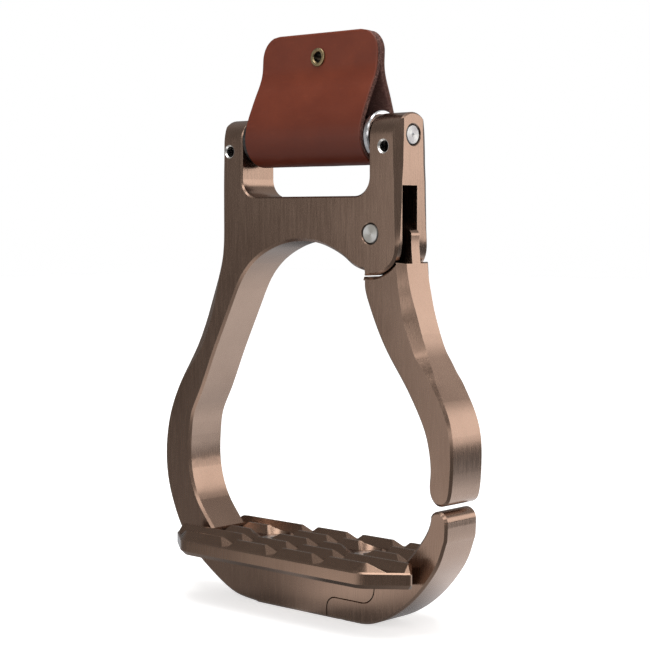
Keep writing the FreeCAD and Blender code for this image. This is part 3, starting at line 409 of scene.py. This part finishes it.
class Strip:
    """Middle line of the leather: vectors (y, z, 0), from the front top to the back top."""

    def __init__(self):
        front = [(-y, z) for y, z in BACK_RUN]
        angles = [math.radians(degrees) for degrees in range(190, 360, 10)]
        wrap = [(MID_R * math.cos(angle), MID_R * math.sin(angle)) for angle in angles]
        outline = [(y, z, 0.0) for y, z in front + wrap + BACK_RUN[::-1]]
        self.line = resample(smooth_curve(outline, CURVE_STEPS), ROW_STEP)
        self.rows = len(self.line)
        self.along = [0.0]
        for a, b in zip(self.line, self.line[1:]):
            self.along.append(self.along[-1] + (b - a).length)
        self.length = self.along[-1]

    def from_end(self, row):
        """Distance along the strip to the nearer end."""
        return min(self.along[row], self.length - self.along[row])

    def tangent(self, row):
        ahead = self.line[min(row + 1, self.rows - 1)]
        return (ahead - self.line[max(row - 1, 0)]).normalized()

    def half_width(self, row):
        if self.from_end(row) >= CORNER_R:
            return HALF_WIDTH
        inset = CORNER_R - self.from_end(row)
        return HALF_WIDTH - CORNER_R + math.sqrt(CORNER_R ** 2 - inset ** 2)

    def across(self, row, column):
        """x of a column; columns crowd towards the cut edges to draw their rounding."""
        u = -1.0 + 2.0 * column / COLUMNS
        return self.half_width(row) * (u * 0.55 + 0.45 * math.sin(u * math.pi / 2))

    def half_thickness(self, row, x):
        to_edge = min(self.half_width(row) - abs(x), self.from_end(row))
        half = THICK / 2
        if to_edge < EDGE_R:
            k = 1.0 - to_edge / EDGE_R
            half -= EDGE_R * (1.0 - math.sqrt(max(0.0, 1.0 - k * k)))
        return half

    def relief(self, row, x):
        """Soft unevenness of the hide, and a slight draw round the eyelet."""
        height = 0.07 * noise.noise(Vector((x * 0.09, self.along[row] * 0.07, 4.0)))
        radius = math.hypot(x, self.from_end(row) - DIMPLE_FROM_END)
        if radius < DIMPLE_R:
            height -= DIMPLE_DEPTH * (1 - radius / DIMPLE_R) ** 2
        return height

    def place(self, face, row, x):
        tangent = self.tangent(row)
        outward = Vector((tangent[1], -tangent[0], 0.0))
        if face == OUTER:
            offset = self.half_thickness(row, x) + self.relief(row, x)
        else:
            offset = -self.half_thickness(row, x)
        y, z, _ = self.line[row] + outward * offset
        radius = math.hypot(y, z)
        if face == INNER and radius < INNER_LIMIT:
            y, z = y * (INNER_LIMIT / radius), z * (INNER_LIMIT / radius)
        return x, y, z


def cell_corners(i, j):
    return [(i, j), (i, j + 1), (i + 1, j + 1), (i + 1, j)]


def cells_around(i, j):
    return [(i - 1, j - 1), (i - 1, j), (i, j - 1), (i, j)]


def cut_eyelet_holes(bm, strip, grid, flat):
    """Open a round hole through both runs; returns the cells removed."""
    def from_hole(i, j):
        return math.hypot(flat[i, j][0], strip.from_end(i) - HOLE_FROM_END)

    gone = {(i, j) for i in range(strip.rows - 1) for j in range(COLUMNS)
            if sum(from_hole(*corner) for corner in cell_corners(i, j)) / 4 < HOLE_R}
    corners = {corner for cell in gone for corner in cell_corners(*cell)}
    lost = {corner for corner in corners if all(cell in gone for cell in cells_around(*corner))}
    # Pull the ragged rim onto the circle
    for i, j in corners - lost:
        scale = HOLE_R / from_hole(i, j)
        slide = (strip.from_end(i) - HOLE_FROM_END) * (scale - 1.0)
        if strip.along[i] >= strip.length / 2:
            slide = -slide
        tangent = strip.tangent(i)
        for face in (OUTER, INNER):
            vert = grid[face, i, j]
            _, y, z = vert.co
            vert.co = (flat[i, j][0] * scale, y + tangent[0] * slide, z + tangent[1] * slide)
    for key in [key for key in grid if key[1:] in lost]:
        bm.verts.remove(grid.pop(key))
    return gone


def leather_cover():
    strip = Strip()
    rows = strip.rows
    bm = bmesh.new()
    uv = bm.loops.layers.uv.new("strip")
    grid = {}                   # (face, row, column): vertex
    flat = {}                   # (row, column): (across, along) on the flat strip
    for i in range(rows):
        for face in (OUTER, INNER):
            for j in range(COLUMNS + 1):
                x = strip.across(i, j)
                grid[face, i, j] = bm.verts.new(strip.place(face, i, x))
                flat[i, j] = (x, strip.along[i])
    gone = cut_eyelet_holes(bm, strip, grid, flat)

    def quad(keys, slot):
        polygon = bm.faces.new([grid[key] for key in keys])
        polygon.material_index = slot
        polygon.smooth = True
        for loop, key in zip(polygon.loops, keys):
            across, along = flat[key[1:]]
            loop[uv].uv = (across * MM, along * MM)

    for i in range(rows - 1):
        for j in range(COLUMNS):
            if (i, j) in gone:
                continue
            a, b, c, d = cell_corners(i, j)
            quad([(OUTER, *corner) for corner in (a, b, c, d)], GRAIN)
            quad([(INNER, *corner) for corner in (a, d, c, b)], FLESH)
            # Wall of the hole wherever the neighbouring cell was removed
            for neighbour, start, end in (((i - 1, j), a, b), ((i + 1, j), c, d),
                                          ((i, j - 1), d, a), ((i, j + 1), b, c)):
                if neighbour in gone:
                    quad([(OUTER, *end), (OUTER, *start), (INNER, *start), (INNER, *end)],
                         CUT_EDGE)
        for j in (0, COLUMNS):
            keys = [(OUTER, i, j), (OUTER, i + 1, j), (INNER, i + 1, j), (INNER, i, j)]
            quad(keys if j == 0 else keys[::-1], CUT_EDGE)
    for i in (0, rows - 1):
        for j in range(COLUMNS):
            keys = [(OUTER, i, j), (INNER, i, j), (INNER, i, j + 1), (OUTER, i, j + 1)]
            quad(keys if i == 0 else keys[::-1], CUT_EDGE)
    bmesh.ops.recalc_face_normals(bm, faces=bm.faces)
    mesh = bpy.data.meshes.new("cover_leather")
    bm.to_mesh(mesh)
    bm.free()

    cos, sin = math.cos(LEAN), math.sin(LEAN)
    for vert in mesh.vertices:
        x, y, z = vert.co
        vert.co = (x * MM, (y * cos - z * sin) * MM, (y * sin + z * cos + AXLE_Z) * MM)
    cover = bpy.data.objects.new("cover_leather", mesh)
    bpy.context.scene.collection.objects.link(cover)
    return cover


# ================================================================  leather materials
def leather_grain():
    """Smooth finished side: fine pores, faint creases and a waxed sheen."""
    g = MaterialGraph("leather_grain")
    strip = g.strip_mapping()
    pores = g.voronoi(strip, scale=2300.0)
    cells = g.voronoi(strip, scale=1250.0, feature="DISTANCE_TO_EDGE")
    cloud = g.noise(strip, scale=70.0, detail=4.0, rough=0.6)
    broad = g.noise(strip, scale=24.0, detail=2.0)
    crease = g.noise(g.strip_mapping(scale=(160, 620, 160)), detail=5.0, rough=0.65)
    color = g.mix(g.remap(cloud), srgb(116, 47, 23), srgb(132, 57, 29))
    color = g.mix(g.remap(broad, span=(0.35, 0.65), to=(0.0, 0.55)), color, srgb(106, 41, 20))
    color = g.mix(g.remap(crease, span=(0.58, 0.74), to=(0.0, 0.35)), color, srgb(150, 74, 46))
    color = g.mix(g.remap(pores, span=(0.0, 0.28), to=(0.45, 0.0)), color, srgb(70, 27, 17))
    # Painted shade: the leather darkens towards its lower part, where it wraps under the roller
    painted_low_shade = g.remap(g.xyz()[2], span=(0.166, 0.196), to=(0.72, 0.0))
    color = g.mix(painted_low_shade, color, srgb(84, 28, 11))
    wear = g.math("MULTIPLY", g.edge(radius=0.0009, span=(0.01, 0.3)), 0.35)
    color = g.mix(wear, color, srgb(150, 84, 60))
    roughness = g.math("ADD", g.remap(cloud, to=(0.40, 0.50)),
                       g.remap(crease, span=(0.4, 0.7), to=(-0.03, 0.06)))
    normal = g.bump(g.remap(cells, span=(0.0, 0.22)), strength=0.16, distance=0.00005)
    normal = g.bump(crease, strength=0.16, distance=0.00012, normal=normal)
    normal = g.bump(broad, strength=0.35, distance=0.0006, normal=normal)
    return g.surface(color, roughness, normal)


def leather_cut_edge():
    """Raw cut edge: layered fibres, fuzzy and dull."""
    g = MaterialGraph("leather_cut_edge")
    fibre = g.noise(g.mapping(scale=(1500, 1500, 1500)), detail=6.0, rough=0.72)
    layers = g.noise(g.mapping(scale=(300, 2600, 700)), detail=4.0, rough=0.6)
    color = g.ramp(fibre, [(0.34, srgb(52, 28, 24)), (0.50, srgb(104, 66, 56)),
                           (0.64, srgb(176, 132, 118))])
    color = g.mix(g.remap(layers, span=(0.4, 0.65), to=(0.0, 0.45)), color, srgb(70, 42, 36))
    normal = g.bump(fibre, strength=0.7, distance=0.00025)
    normal = g.bump(layers, strength=0.5, distance=0.0002, normal=normal)
    return g.surface(color, roughness=0.92, normal=normal)


def leather_flesh():
    """Napped inner side."""
    g = MaterialGraph("leather_flesh_side")
    fibre = g.noise(g.strip_mapping(), scale=1700.0, detail=6.0, rough=0.75)
    nap = g.noise(g.strip_mapping(scale=(300, 900, 300)), detail=4.0, rough=0.6)
    color = g.ramp(fibre, [(0.32, srgb(88, 58, 54)), (0.52, srgb(136, 98, 90)),
                           (0.70, srgb(184, 146, 134))])
    color = g.mix(g.remap(nap, span=(0.35, 0.65), to=(0.0, 0.5)), color, srgb(104, 72, 66))
    return g.surface(color, roughness=0.95,
                     normal=g.bump(fibre, strength=0.6, distance=0.00018))


cover = leather_cover()
for material in (leather_grain(), leather_cut_edge(), leather_flesh()):
    cover.data.materials.append(material)
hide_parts("leather_cover")
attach(cover, "leather_cover")


# ================================================================  studio
def floor_material():
    """Near-white floor for the camera; all other rays see a shaped glow instead."""
    g = MaterialGraph("floor")
    grey = g.mix(g.noise(g.mapping(), scale=3.0, detail=2.0),
                 (0.90, 0.90, 0.90), (0.93, 0.93, 0.93))
    seen = g.add("ShaderNodeBsdfPrincipled", {
        "Base Color": grey, "Metallic": 0.0, "Roughness": 0.7,
        "Emission Color": (1, 1, 1), "Emission Strength": 0.62})

    distance = g.vector_math("LENGTH", g.object_coords)
    x, y, _ = g.xyz()
    to_back = {"span": (-0.03, 0.03)}       # y range where front turns into back
    # Front: a bright sector of bearings, in degrees from +X, centred near -Y
    degrees = g.math("MULTIPLY", g.math("ARCTAN2", y, x), 180.0 / math.pi)
    front = g.math("MULTIPLY", g.remap(degrees, span=(-140.0, -112.0), to=(0.22, 0.85)),
                   g.remap(degrees, span=(-88.0, -66.0), to=(1.0, 0.22)))
    # Back: brighter towards +X, dim further off
    back = g.math("MULTIPLY", g.remap(x, span=(-0.10, 0.05), to=(0.58, 1.15)),
                  g.remap(distance, span=(0.24, 0.37), to=(1.0, 0.18)))
    sides = g.math("ADD", g.math("MULTIPLY", front, g.remap(y, to=(1.0, 0.0), **to_back)),
                   g.math("MULTIPLY", back, g.remap(y, **to_back)))
    # Painted contact shadow: a dark ellipse under the object, by its half sizes in x and y
    ellipse = g.hypot(g.math("DIVIDE", x, 0.064), g.math("DIVIDE", y, 0.036))
    painted_contact_shadow = g.remap(ellipse, span=(0.7, 1.15), to=(0.34, 1.0))
    falloff = g.remap(distance, span=(0.10, 0.90), to=(1.30, 0.55))
    glow = g.add("ShaderNodeEmission", {
        "Color": g.mix(g.remap(y, **to_back), (1.0, 0.985, 0.98), (0.92, 1.0, 1.07)),
        "Strength": g.math("MULTIPLY", g.math("MULTIPLY", falloff, sides), painted_contact_shadow)})
    return g.finish(g.camera_switch(hidden=glow.outputs[0], seen=seen.outputs[0]))


bpy.ops.mesh.primitive_plane_add(size=6.0, location=(0, 0, -0.0002))
floor = bpy.context.object
floor.name = "studio_floor"
floor.data.materials.append(floor_material())


def bearing(degrees, z):
    """Direction at an angle from +X towards +Y, with the given rise."""
    return (math.cos(math.radians(degrees)), math.sin(math.radians(degrees)), z)


# Soft round panels: direction, full inside and gone beyond (degrees off it), level
PANELS = [
    (bearing(50, 0.20), 13, 22, 2.05),
    (bearing(-33, 0.16), 4, 12, 1.45),
    (bearing(-92, 0.02), 15, 23, 1.9),
    (bearing(-50, 0.80), 7, 16, 2.5),
    ((0.1, 0.3, 1.0), 15, 62, 0.32),
]
AMBIENT = 0.24


def studio_world():
    """Dim surroundings with bright panels; plain white for the camera."""
    world = bpy.data.worlds.new("studio")
    bpy.context.scene.world = world
    world.use_nodes = True
    g = Graph(world.node_tree)
    coords = g.add("ShaderNodeTexCoord").outputs["Generated"]
    levels = []
    for direction, inner, outer, level in PANELS:
        facing = g.vector_math("DOT_PRODUCT", coords, Vector(direction).normalized())
        span = (math.cos(math.radians(outer)), math.cos(math.radians(inner)))
        levels.append(g.remap(facing, span=span, to=(0.0, level), curve="SMOOTHSTEP"))
    total = levels[0]
    for level in [*levels[1:], AMBIENT]:
        total = g.math("ADD", total, level)
    tent = g.add("ShaderNodeBackground", {"Color": (1.0, 0.98, 0.965), "Strength": total})
    white = g.add("ShaderNodeBackground", {"Color": (1, 1, 1), "Strength": 1.0})
    shader = g.camera_switch(hidden=tent.outputs[0], seen=white.outputs[0])
    g.add("ShaderNodeOutputWorld", {0: shader})


def area_light(name, location, target, size, power, size_y=None):
    data = bpy.data.lights.new(name, "AREA")
    data.energy = power
    data.size = size
    if size_y:
        data.shape = "RECTANGLE"
        data.size_y = size_y
    light = bpy.data.objects.new(name, data)
    bpy.context.scene.collection.objects.link(light)
    light.location = location
    aim = Vector(target) - Vector(location)
    light.rotation_euler = aim.to_track_quat("-Z", "Y").to_euler()


def add_camera():
    """Camera to the front right, looking slightly down."""
    right = Vector((0.7372782, 0.6755892, 0.0))
    up = Vector((-0.0427539, 0.0466578, 0.9979956))
    forward = Vector((-0.6742351, 0.7358004, -0.0632838))
    data = bpy.data.cameras.new("camera")
    camera = bpy.data.objects.new("camera", data)
    bpy.context.scene.collection.objects.link(camera)
    pose = Matrix((right, up, -forward)).transposed().to_4x4()
    pose.translation = (0.43637786, -0.47310585, 0.14955464)
    camera.matrix_world = pose
    data.sensor_width = 36.0
    data.lens = 94.2016431
    data.clip_start = 0.01
    bpy.context.scene.camera = camera


studio_world()
area_light("top", location=(0.1, -0.1, 1.3), target=(0, 0, 0.1), size=0.9, power=8.0)
area_light("front_soft", location=(-0.25, -0.57, 0.13), target=(0.05, 0, 0.10),
           size=0.26, size_y=0.5, power=0.30)
add_camera()
bpy.context.scene.view_settings.view_transform = "Standard"
